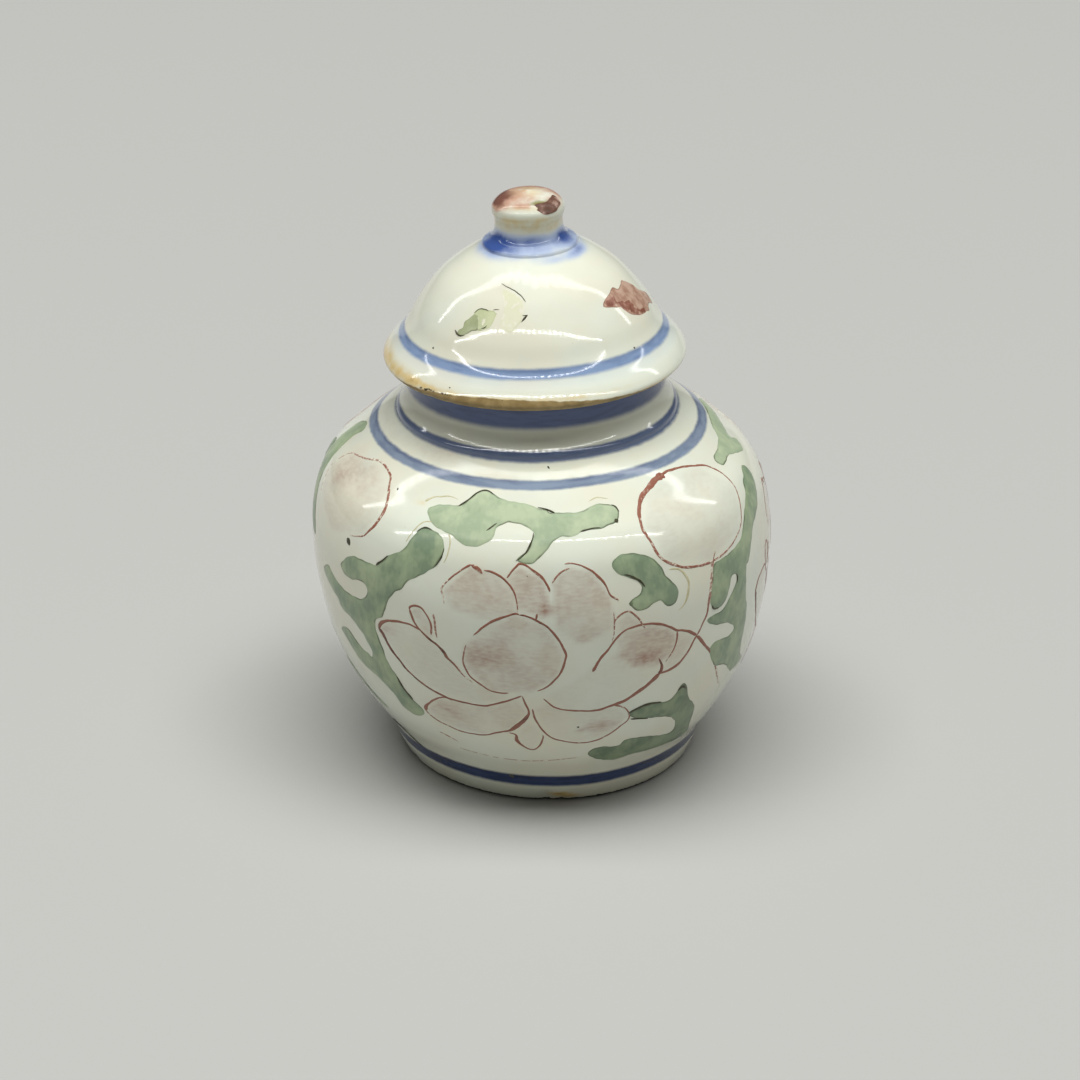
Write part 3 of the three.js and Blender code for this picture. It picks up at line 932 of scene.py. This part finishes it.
# Dark outlines laid over the leaves, and the enamel's halos.
INK_LINES = [
    ([(-23.9, 65.5), (-21.9, 66.3), (-19.5, 67.5), (-16.5, 68), (-13.7, 67.6)], (0.4, 0.25, 0.3, 0.15)),
    ([(0, 66.1), (2.2, 65.9), (4.9, 65.3)], (0.15, 0.3, 0.5)),
    ([(-1.3, 62.8), (-1.6, 62), (-2.3, 61), (-3.2, 60), (-4.8, 59), (-5.7, 58.6)], (0.2, 0.35, 0.2)),
    ([(-14, 62.8), (-12.8, 63.3), (-11.5, 63.9)], (0.3, 0.5, 0.3)),
    ([(-62, 10.5), (-58, 9), (-53, 7.6), (-49, 6.8)], (0.3, 0.8, 0.6, 0.3)),
    ([(11.4, 62.7), (14, 62.9), (16.8, 62.9)], (0.4, 0.25, 0.15)),
    ([(22, 65.5), (23, 65.2), (23.5, 64.5)], (0.2, 0.4, 0.2)),
    ([(21.6, 63.7), (22, 63.2)], (0.9, 1.0)),
    ([(20.6, 55), (22.6, 54.4), (25, 52.9), (25.8, 51.8)], (0.2, 0.5, 0.55, 0.25)),
    ([(22.6, 24.7), (25, 25.4), (28, 25.9), (32, 25.5)], (0.5, 0.6, 0.35)),
    ([(23.6, 22.9), (26, 22.5), (29, 22)], (0.45, 0.35, 0.2)),
    ([(45.4, 43.7), (46.4, 42.8), (48, 42.5)], (0.5, 0.5, 0.2)),
    ([(55.2, 47.4), (55.5, 46.6), (55.2, 45.6)], (0.3, 0.45, 0.2)),
    ([(-43.7, 52.9), (-42.3, 53.9), (-40.2, 55.5)], (0.5, 0.3, 0.15)),
    ([(-33.2, 61), (-31.5, 61.8), (-29, 61.7)], (0.2, 0.35, 0.2)),
    ([(-24.5, 59.4), (-25, 57.6), (-26.1, 56.1)], (0.15, 0.3, 0.2)),
    ([(-40.2, 29.2), (-39.4, 27.4), (-38.2, 25.9), (-36.8, 24.5)], (0.2, 0.5, 0.5, 0.2)),
    ([(36.8, 27), (38.4, 27.6), (39.6, 26.8)], (0.3, 0.8, 0.3)),
]
HALOS = [
    ([(-35, 65.1), (-33, 65.9), (-31, 66.2), (-27.5, 66.5), (-24.7, 66.3)], (0.8, 0.4, 0.35, 0.2)),
    ([(-24.2, 61.8), (-23.2, 60.4), (-23.3, 58.6), (-24.1, 56.8)], (0.3, 0.4, 0.4, 0.2)),
    ([(-35.6, 58.8), (-34.3, 61), (-32.1, 62.6), (-29, 62.7), (-26.4, 62)], (0.2, 0.35, 0.4, 0.3, 0.2)),
    ([(15.5, 66.4), (18.4, 66.8), (21.6, 66.4)], (0.2, 0.35, 0.2)),
    ([(32.8, 54), (35.6, 53.4), (37.6, 51.6), (38, 49.4), (36.6, 46.6), (34.6, 45.6)],
     (0.3, 0.6, 0.8, 0.7, 0.3)),
]

# Where thin red wash fills the petals and the circles, and how strong it is.
PETAL_WASHES = [
    ([(-6, 48.8), (-12, 46.7), (-19, 41), (-19.3, 36.5), (-13, 31.4), (-4, 31), (3.3, 34.9), (5.7, 40),
     (1, 46.5)], 0.5),
    ([(-5.4, 49.1), (-7, 53.8), (-11, 56.3), (-17, 57.2), (-24, 52), (-22, 48.5), (-12, 47)], 0.5),
    ([(-5.4, 49.5), (-8, 55.5), (-4.9, 58), (1, 55.3), (2.3, 52), (1, 48)], 0.55),
    ([(3, 54.7), (7, 57.7), (12.8, 56.4), (17, 51.4), (17.5, 44.6), (9, 42), (3.5, 46)], 0.5),
    ([(-33, 46.5), (-30, 47.3), (-27.4, 44.9), (-27, 41), (-30.1, 42.2)], 0.5),
    ([(-43.8, 39.4), (-39, 42.3), (-31, 42.5), (-25, 39), (-18, 32.7), (-9, 31), (-9.4, 29.2), (-20, 27.5),
     (-33, 30.3)], 0.2),
    ([(18, 42), (20, 43.5), (26, 44.2), (32, 42.5), (34.3, 40.5), (33, 36.8), (29.5, 34.5), (23, 35.5),
     (19, 38.5)], 0.62),
    ([(0, 30.2), (6, 27.2), (17, 27.2), (30, 32.7), (22, 35), (18, 40), (10, 36), (5, 33)], 0.12),
    ([(34.5, 41), (40.5, 38.5), (36, 34), (31, 33)], 0.3),
    ([(-24, 27.5), (-28, 27), (-33.6, 22.5), (-27, 19.8), (-17, 19.3), (-9, 21.7), (-4, 26.5), (-6, 30),
     (-14, 27.4)], 0.3),
    ([(-2.9, 27.6), (0.9, 20.6), (9, 18), (17.7, 19.4), (22.9, 24), (18, 27.3), (8, 26.9), (1, 29)], 0.22),
    ([(-7.7, 20), (-6, 17), (-3, 16.2), (-0.5, 20), (-2, 23.5), (-5, 24)], 0.15),
    ([(18, 46), (21, 47.7), (25, 44.4), (19, 43.4)], 0.5),
    ([(29, 62), (34, 65.8), (45, 67.3), (58, 66.2), (65, 62), (59, 55.3), (46, 52.8), (33, 55.5)], 0.16),
    ([(-78, 58), (-81, 62), (-77, 65), (-62, 66.8), (-50, 65), (-46.5, 61), (-50, 57), (-64, 54)], 0.24),
]
DOME_OLIVE = [
    (-28, 94.6), (-23.6, 95.1), (-21.6, 95.6), (-20.4, 96.9), (-19.2, 98.3), (-22.4, 97.9), (-25.6, 97.9),
    (-31.2, 97.8), (-33.6, 97.1), (-32, 95.5),
]
DOME_OLIVE_DEEP = [
    (-39.6, 93.5), (-37.2, 93.2), (-34, 93.7), (-32, 94.3), (-28.4, 94.7), (-28.8, 96), (-30.8, 97.6),
    (-33.2, 96.9), (-36, 96), (-37.6, 95.5), (-37.2, 94.6), (-39.2, 94.1),
]
DOME_PALE = [
    (-24, 101), (-22.4, 101.6), (-18.8, 101.4), (-14, 101.1), (-10, 100.7), (-6.4, 100.2), (-3.2, 99.4),
    (-4, 98), (-5.6, 96.5), (-8.8, 95.5), (-10.4, 94.8), (-14.8, 95.1), (-16.8, 96), (-16.4, 97.9),
    (-18, 99.3), (-21, 100.2),
]
DOME_RED = [
    (43.2, 96.9), (46.4, 97.7), (49.6, 98), (54.8, 98.5), (58.4, 98.8), (61.2, 98.2), (66.4, 98.4),
    (71, 98.7), (75.6, 97.9), (79, 96.9), (80.4, 96), (84, 95.1), (88, 94.3), (88, 93.2), (85.6, 92.4),
    (80.5, 93.2), (77, 92.9), (75.6, 92.5), (72.4, 92.8), (69.2, 92.9), (65.6, 93.1), (60, 93.8),
    (56.8, 94.6), (54.4, 95.7), (48.4, 96.3),
]
DOME_RED_DEEP = [
    (43.6, 96.8), (47.2, 97.7), (51.2, 98), (55.2, 98.1), (55.6, 97.5), (54.6, 97.1), (57.6, 96.7),
    (61.2, 96.5), (66, 96.2), (65.4, 95.6), (65.6, 94.8), (67.6, 94.2), (74, 93.7), (75.8, 93.1),
    (72.4, 92.9), (65.6, 93.2), (60.4, 93.9), (55.6, 95.1), (54.4, 95.8), (48.4, 96.4),
]
DOME_INK = [
    ([(-22.4, 101.6), (-18.8, 101.4), (-14, 101.1), (-10, 100.7), (-6.4, 100.2), (-3.2, 99.4)],
     (0.1, 0.25, 0.2)),
    ([(-41.6, 93.9), (-39.6, 93.4), (-37.2, 93.2), (-34.8, 93.6)], (0.2, 0.45, 0.35, 0.1)),
    ([(-33.6, 97.1), (-31.2, 97.8), (-27.6, 97.9), (-25.2, 97.7)], (0.1, 0.2, 0.12)),
    ([(-22.4, 98), (-18.8, 98.1)], (0.15, 0.1)),
    ([(-26.8, 95), (-24.8, 95.2), (-24, 95.6)], (0.2, 0.25, 0.1)),
    ([(-5.6, 96.4), (-3.6, 97.1), (-2, 97.5)], (0.15, 0.45, 0.3)),
    ([(-2, 97.5), (-3.4, 97.4), (-4.8, 97.4)], (0.35, 0.25, 0.12)),
]
KNOB_RED = [
    (10.4, 113.7), (20.4, 114.1), (38.8, 114.1), (57.2, 114.3), (78.8, 114.3), (72.4, 113.5), (70, 113.1),
    (58, 112.8), (48, 112.4), (39.2, 112.3), (26.4, 112.4), (17.6, 113.1),
]

# Pinholes and iron specks: angle, height and size.
BODY_SPECKS = [
    (-55.2, 54.4, 1.6), (-46.3, 65.4, 0.5), (4.3, 71, 0.5), (-3, 56, 0.3), (9, 22.6, 0.6), (-12, 6.3, 1.2),
]
DOME_SPECKS = [(-51, 89.9, 0.6), (-15, 88.1, 0.35), (50, 89.2, 0.6), (-34, 85.2, 0.35), (-12, 84.4, 0.25)]

# Stains as value, angle, height, width in degrees, height in mm, and strength.
BODY_STAINS = [
    ("ochre", 20, 70.6, 40, 0.9, 0.16),
    ("blush", -40, 71.2, 14, 1.2, 0.3),
    ("blush", -80, 70.4, 16, 1.0, 0.3),
    ("blush", -14, 38.6, 5, 3, 0.35),
    ("blush", -5, 40.5, 6, 1.5, 0.2),
    ("blush", -9, 54, 5, 2.5, 0.3),
    ("blush", 46, 60, 14, 5, 0.12),
    ("blush", -74, 62.6, 6, 2.6, 0.5),
    ("blush", -62, 64, 10, 3, 0.2),
    ("blush", 1.5, 49.6, 1.9, 1.2, 0.9),
    ("blush", -27, 24, 5, 2, 0.5),
    ("blush", 15, 22.4, 4.5, 1.3, 0.6),
    ("blush", 9.5, 21.6, 1.2, 0.6, 0.8),
    ("blush", 26, 37, 6, 1.3, 0.6),
    ("blush", 20, 39, 2.5, 0.8, 0.5),
    ("blush", -41, 39.6, 3, 1.6, 0.4),
    ("ochre", -36, 64.8, 2.4, 0.5, 0.3),
]
DOME_STAINS = [
    ("bare", -12, 82, 42, 400, 2.0),
    ("bare", 150, 82, 60, 400, 0.9),
    ("ochre", -84, 84, 24, 1.6, 0.7),
    ("ochre", -54, 84, 14, 1.2, 0.5),
    ("ochre", -10, 84.4, 50, 0.5, 0.5),
    ("ochre", 40, 82.8, 40, 0.7, 0.4),
    ("grime_and_shade", -38, 84, 7, 0.25, 0.5),
    ("grime_and_shade", -46, 83.8, 4, 0.25, 0.42),
    ("grime_and_shade", 150, 83, 14, 0.3, 0.5),
    ("blush", -22, 101.2, 8, 0.9, 0.3),
]
# The blue washed round the foot of the knob, which runs on over the seam onto the dome.
KNOB_BLUE = [
    ("blue", -62, 106.4, 32, 1.6, 1.1),
    ("blue", -10, 107.2, 50, 1.3, 0.78),
    ("blue", 0, 105.4, 70, 1.0, 0.25),
    ("blue", 68, 107, 26, 1.4, 0.95),
    ("blue", 66, 104.4, 22, 0.6, 0.5),
    ("blue", 30, 104.3, 22, 0.5, 0.2),
    ("blue", 170, 106.2, 70, 2.0, 0.95),
]
KNOB_STAINS = [
    ("ochre", 0, 110.2, 400, 1.6, 0.4),
    ("ochre", -10, 111.4, 40, 0.6, 0.3),
    ("olive", 20, 109.2, 60, 1.0, 0.2),
    ("olive", 28, 114.1, 20, 0.3, 0.9),
    ("grime_and_shade", -80, 111, 5, 0.25, 0.4),
    ("grime_and_shade", -1.6, 111.6, 5, 0.25, 0.5),
    ("grime_and_shade", 43, 112, 6, 0.2, 0.35),
    ("red", -80, 113.6, 36, 1.2, 1.45),
    ("red", 180, 114, 100, 1.0, 1.4),
    ("red", -8, 113.8, 16, 0.5, 0.8),
    ("ochre", 15, 113.4, 60, 0.5, 0.35),
    ("red", -30, 114.8, 60, 0.4, 0.7),
    ("red", 48, 113.2, 22, 0.8, 0.5),
    ("ochre", 0, 115, 400, 0.4, 0.3),
]
FOOT_STAINS = [
    ("ochre", 5, 1.9, 4, 0.5, 1.1),
    ("ochre", 9, 1.2, 5, 0.4, 0.8),
    # The dark line all round the foot's bottom edge: dirt, and painted shade where the foot meets the floor.
    ("grime_and_shade", 0, 0.1, 400, 0.5, 0.85),
    ("ochre", 120, 1.5, 25, 0.9, 0.5),
]

# Chips as angle, height, size and depth.
FOOT_DENTS = [(0, 1.3, 1.3, 0.55), (5.5, 0.4, 0.9, 0.3), (-62, 0.3, 1.1, 0.25), (140, 0.4, 1.4, 0.35)]
DOME_DENTS = [(-42, 82.3, 0.9, 0.22), (-33, 82.1, 0.7, 0.18), (155, 82.2, 1.2, 0.3)]


# ---------------------------------------------------------------- the pieces
# A band's height, half its width, the softness of its edges, its cover, and its pale and dark colours.
BANDS = {
    "foot": (5.5, 1.4, 0.4, 1.0, NAVY_PALE, NAVY),
    "shoulder": (69.0, 0.62, 0.2, 0.9, SLATE, SLATE_DARK),
    "ridge": (72.6, 0.9, 0.25, 0.92, SLATE_DARK, COBALT_DARK),
    "neck": (79.3, 2.2, 0.7, 0.97, NECK_BLUE, NECK_BLUE_DARK),
    "lid": (88.2, 0.85, 0.35, 0.92, SKY_BLUE, LID_BLUE),
    "lid_bleed": (86.9, 0.9, 0.8, 0.16, SKY_BLUE, SKY_BLUE),
}


def make_body():
    base = cut([(0, FOOT_TOP), (FOOT_OUTER, FOOT_TOP)], 2)[:-1]
    rim = cut([(NECK_BASE_OUTER, NECK_BASE), (NECK_BORE, NECK_BASE)], 1)[1:-1]
    outline = np.concatenate([base, BODY_OUTSIDE, rim, BODY_INSIDE])
    finish = glaze("body_glaze", [BANDS["foot"], BANDS["shoulder"], BANDS["ridge"]])
    washes = [(moved(marks, turn), share) for turn in (0, BACK_TURN) for marks, share in PETAL_WASHES]
    washes += [(moved(marks, SIDE_TURN, SIDE_SCALE), share) for marks, share in PETAL_WASHES[:SIDE_WASHES]]
    turned("jar_body", outline, BODY_FACETS, finish, "jar", BODY_STAINS, (), washes)


def make_neck():
    lip = [
        (NECK_OUTER, NECK_TOP - 0.8),
        (NECK_OUTER - 0.15, NECK_TOP - 0.3),
        (NECK_OUTER - 0.6, NECK_TOP),
        (NECK_BORE + 0.5, NECK_TOP),
        (NECK_BORE + 0.1, NECK_TOP - 0.2),
        (NECK_BORE, NECK_TOP - 0.6),
    ]
    bore = cut([lip[-1], (NECK_BORE, NECK_BASE), NECK_OUTSIDE[0]], 0.8)
    outline = np.concatenate([NECK_OUTSIDE, cut(lip, 0.3)[1:], bore[1:]])
    finish = glaze("neck_glaze", [BANDS["ridge"], BANDS["neck"]], clay_above=NECK_TOP - 0.35)
    turned("neck_collar", outline, NECK_FACETS, finish, "jar")


def make_foot():
    rim = [
        (FOOT_INNER + 0.9, 0),
        (28.9, 0),
        (29.3, 0.2),
        (29.6, 0.7),
        (30.6, 3.2),
        (FOOT_OUTER, FOOT_TOP),
        (FOOT_INNER, FOOT_TOP),
        (FOOT_INNER + 0.3, 0.7),
        (FOOT_INNER + 0.9, 0),
    ]
    # The foot's bare bottom edge is real bare clay, darkened to near black as painted shade where it meets
    # the floor.
    finish = glaze("foot_glaze", [BANDS["foot"]], clay_below=0.5, clay=(CLAY_DARK, GRIME_AND_SHADE))
    turned("foot_ring", cut(rim, 0.3), BODY_FACETS, finish, "jar", FOOT_STAINS, FOOT_DENTS)


def make_dome():
    seat = cut([(FLANGE_BORE, LID_SEAT), (27.4, LID_SEAT)], 0.6)[1:-1]
    crown = cut([(KNOB_BASE, DOME_TOP), (0, DOME_TOP)], 1)[1:]
    outline = np.concatenate([DOME_INSIDE, seat, DOME_OUTSIDE, crown])
    bands = [BANDS["lid_bleed"], BANDS["lid"]]
    finish = glaze("dome_glaze", bands, clay_below=LID_SEAT + 0.6, clay=(LIP_CLAY, LIP_CLAY_DARK))
    stains = DOME_STAINS + KNOB_BLUE
    turned("lid_dome", outline, DOME_FACETS, finish, "lid", stains, DOME_DENTS, crease=25)


def make_flange():
    bottom = LID_SEAT - FLANGE_DEPTH
    ring = [
        (FLANGE_BORE + 0.4, bottom),
        (FLANGE_OUTER - 0.5, bottom),
        (FLANGE_OUTER - 0.15, bottom + 0.25),
        (FLANGE_OUTER, bottom + 0.8),
        (FLANGE_OUTER, LID_SEAT),
        (FLANGE_BORE, LID_SEAT),
        (FLANGE_BORE, bottom + 0.6),
        (FLANGE_BORE + 0.4, bottom),
    ]
    turned("lid_flange", cut(ring, 0.5), SMALL_FACETS, biscuit(), "lid")


def make_knob():
    disc = cut([(0, DOME_TOP), (KNOB_BASE, DOME_TOP)], 1)[:-1]
    outline = np.concatenate([disc, KNOB_OUTSIDE])
    stains = KNOB_STAINS + KNOB_BLUE
    turned("lid_knob", outline, SMALL_FACETS, glaze("knob_glaze"), "lid", stains)


def moved(marks, turn, scale=1.0):
    """The marks turned round the pot, once narrowed about the front."""
    return [(angle * scale + turn, height) for angle, height in marks]


def paint_body():
    """The front's lotus, leaves and circles, again on the back, and a narrower lotus on the right side."""
    lines = Relief(body_skin, 1)
    groups = {name: Relief(body_skin, seed) for name, (seed, _, _) in LEAF_GROUPS.items()}
    marks = Relief(body_skin, 3)
    halos = Relief(body_skin, 4)
    for turn in (0, BACK_TURN):
        for points, widths, loads in LOTUS + CIRCLES:
            lines.line(moved(points, turn), widths, loads)
        for name, leaf in LEAVES:
            if turn == 0 or leaf not in FRONT_ONLY:
                groups[name].patch(moved(leaf, turn))
        for points, widths in INK_LINES:
            marks.line(moved(points, turn), widths, lift=0.1)
        for points, widths in HALOS:
            halos.line(moved(points, turn), widths, lift=-0.01)
    for points, widths, loads in LOTUS:
        lines.line(moved(points, SIDE_TURN, SIDE_SCALE), widths, loads)
    for at, height, size in BODY_SPECKS:
        marks.speck(at, height, size, GIRTH, 0.3)
    lines.finish("red_painting", iron_red(), "jar")
    for name, (_, light, deep) in LEAF_GROUPS.items():
        groups[name].finish(name, leaf_green(name, light, deep), "jar")
    marks.finish("ink_lines", ink(), "jar")
    halos.finish("enamel_halos", ghost(), "jar")


def paint_dome():
    """What is left of the lid's enamels."""
    patches = [
        ("dome_olive", DOME_OLIVE, 0.03, leaf_green("worn_olive", OLIVE_PALE, OLIVE_SOFT, OLIVE_RIM, 0.03)),
        (
            "dome_olive_deep",
            DOME_OLIVE_DEEP,
            0.05,
            leaf_green("olive", OLIVE_GREEN, OLIVE_GREEN_DEEP, OLIVE_GREEN_RIM),
        ),
        ("dome_pale", DOME_PALE, 0.02, leaf_green("pale_enamel", STRAW, STRAW_DEEP, STRAW_RIM, 0.1)),
        ("dome_red", DOME_RED, 0.03, worn_red("worn_red", RED_WORN, RED_WORN_DEEP)),
        ("dome_red_deep", DOME_RED_DEEP, 0.05, worn_red("deep_red", RED_FULL, RED_FULL_DEEP, RED_FULL_RIM)),
    ]
    for seed, (name, marks, thick, material) in enumerate(patches):
        patch = Relief(dome_skin, 20 + seed)
        patch.patch(marks, thick=thick, ragged=0.03)
        patch.finish(name, material, "lid")
    marks = Relief(dome_skin, 8)
    for points, widths in DOME_INK:
        marks.line(points, widths, lift=0.05, tremble=0.04)
    for at, height, size in DOME_SPECKS:
        marks.speck(at, height, size, LID_RIM, 0.2)
    marks.finish("dome_marks", ink(), "lid")
    knob = Relief(knob_skin, 9)
    knob.patch(KNOB_RED, thick=0.04, ragged=0.02)
    knob.finish("knob_red", worn_red("knob_worn_red", KNOB_BROWN_PALE, KNOB_BROWN), "lid")


# ---------------------------------------------------------------- floor, light and camera
FLOOR_REACH = 4.0

# Two rows of small lamps above the jar, whose reflections are the thin bright lines on the glaze. Each runs
# from left to right at ROW_HEIGHT, and its ends bend back: left end, right end, depth, bend, count, size and
# power.
ROW_HEIGHT = 420
ROWS = {
    "led": (-915, 530, -290, 0.12, 46, 17, 0.018),
    "soft": (-1000, 790, -25, 0.33, 46, 42, 0.013),
}
LIGHT_TARGET = (0, 0, 60)
SKY_PLACE = (0, -400, 4000)
SKY_SIZE = (5000, 2400)
SKY_POWER = 252
WORLD_COLOUR = (0.96, 0.97, 0.96, 1)
WORLD_STRENGTH = 0.08

# The camera, with its turns in degrees.
CAMERA_PLACE = (-4.9, -560, 315.4)
CAMERA_YAW = 0.48
CAMERA_PITCH = 26.01
CAMERA_ROLL = 1.15
LENS = 105.1
SENSOR = 36
NEAREST = 10


def make_floor():
    """A wide sheet of pale paper under the jar."""
    low = cad_box[0].z
    corners = [(-1, -1), (1, -1), (1, 1), (-1, 1)]
    mesh = bpy.data.meshes.new("floor")
    mesh.from_pydata([(x * FLOOR_REACH, y * FLOOR_REACH, low) for x, y in corners], [], [(0, 1, 2, 3)])
    floor = bpy.data.objects.new("floor", mesh)
    bpy.context.scene.collection.objects.link(floor)
    material = bpy.data.materials.new("floor_paper")
    material.use_nodes = True
    shader = material.node_tree.nodes["Principled BSDF"]
    shader.inputs["Base Color"].default_value = rgb(FLOOR_GREY)
    shader.inputs["Roughness"].default_value = FLOOR_ROUGH
    mesh.materials.append(material)


def lamp(name, place, target, power, shape, size, size_y=None):
    """An area light at a place in mm, turned to a target."""
    light = bpy.data.lights.new(name, "AREA")
    light.energy = power
    light.shape = shape
    light.size = size * MM
    if size_y:
        light.size_y = size_y * MM
    lit = bpy.data.objects.new(name, light)
    lit.location = Vector(place) * MM
    lit.rotation_euler = (Vector(target) - Vector(place)).to_track_quat("-Z", "Y").to_euler()
    bpy.context.scene.collection.objects.link(lit)
    return lit


def make_light():
    """A soft light from above, an even pale surround, and the two rows that only show as reflections."""
    for name, (left, right, depth, bend, count, size, power) in ROWS.items():
        for i in range(count):
            across = left + (right - left) * i / (count - 1)
            place = (across, depth + bend * abs(across), ROW_HEIGHT)
            spot = lamp(f"{name}_{i}", place, LIGHT_TARGET, power, "DISK", size)
            spot.visible_diffuse = False
    sky = lamp("sky", SKY_PLACE, LIGHT_TARGET, SKY_POWER, "RECTANGLE", *SKY_SIZE)
    sky.visible_glossy = False
    world = bpy.data.worlds.new("studio")
    bpy.context.scene.world = world
    world.use_nodes = True
    background = world.node_tree.nodes["Background"]
    background.inputs["Color"].default_value = WORLD_COLOUR
    background.inputs["Strength"].default_value = WORLD_STRENGTH


def make_camera():
    """The view from above the front, a long lens a little turned and rolled."""
    camera = bpy.data.cameras.new("camera")
    camera.sensor_width = SENSOR
    camera.lens = LENS
    camera.clip_start = NEAREST * MM
    view = bpy.data.objects.new("camera", camera)
    bpy.context.scene.collection.objects.link(view)
    view.matrix_world = (
        Matrix.Translation(Vector(CAMERA_PLACE) * MM)
        @ Matrix.Rotation(-math.radians(CAMERA_YAW), 4, "Z")
        @ Matrix.Rotation(math.pi / 2 - math.radians(CAMERA_PITCH), 4, "X")
        @ Matrix.Rotation(math.radians(CAMERA_ROLL), 4, "Z")
    )
    bpy.context.scene.camera = view


make_body()
make_neck()
make_foot()
make_dome()
make_flange()
make_knob()
paint_body()
paint_dome()
make_floor()
make_light()
make_camera()
bpy.context.scene.view_settings.view_transform = "Standard"
